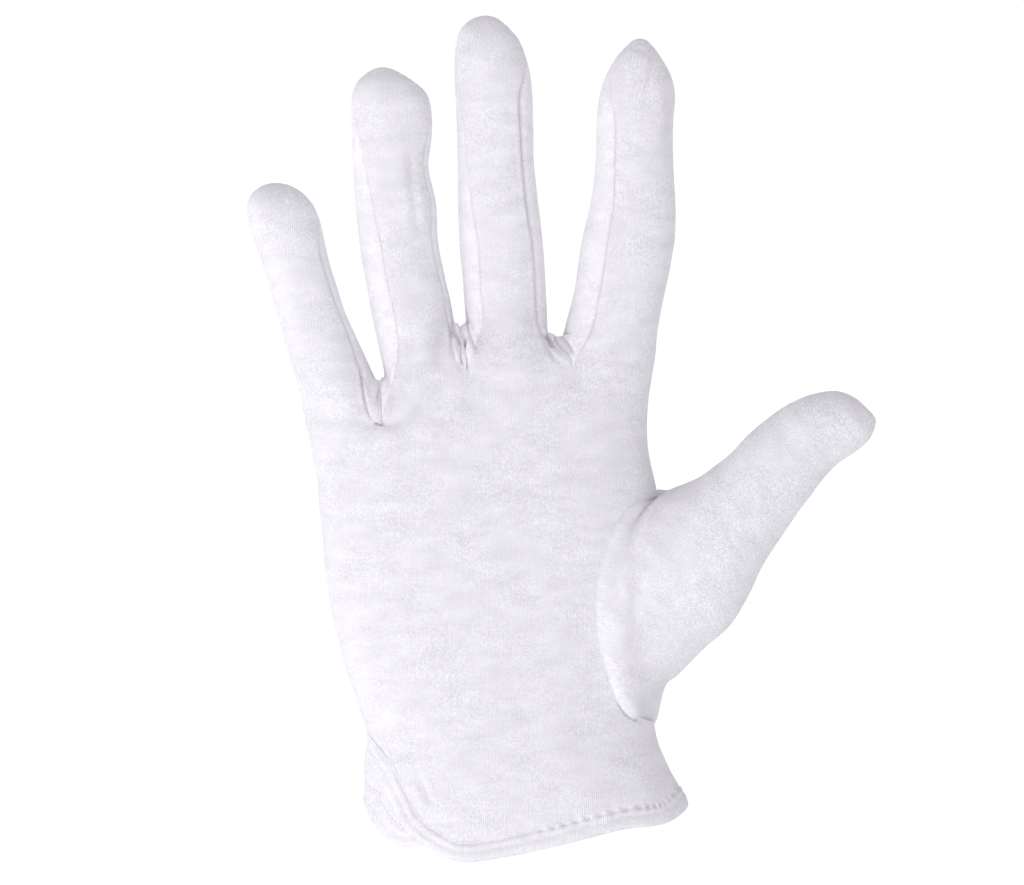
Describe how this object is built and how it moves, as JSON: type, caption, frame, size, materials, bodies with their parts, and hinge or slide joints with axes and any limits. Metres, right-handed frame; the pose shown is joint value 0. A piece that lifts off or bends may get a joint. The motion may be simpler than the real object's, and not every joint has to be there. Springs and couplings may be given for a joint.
{
  "type": "cotton glove",
  "caption": "White cotton jersey glove for a right hand, in its worn form, with fourchettes between the fingers, a set-in thumb and a hemmed wrist with a short vent.",
  "frame": {"origin": "middle of the wrist opening, where the hand goes in", "axes": "+Z from the wrist to the fingertips, +X to the thumb side, -Y is the way the palm faces"},
  "size_m": [0.1716, 0.0462, 0.2299],
  "materials": {
    "jersey": "matt cotton jersey knit",
    "hem_jersey": "matt doubled cotton jersey with overlock thread"
  },
  "bodies": {
    "root": {"palm_panel": "jersey", "back_panel": "jersey", "fourchette_little_ring": "jersey", "fourchette_ring_middle": "jersey", "fourchette_middle_index": "jersey", "thumb": "jersey", "palm_hem": "hem_jersey", "back_hem": "hem_jersey"}
  },
  "joints": []
}
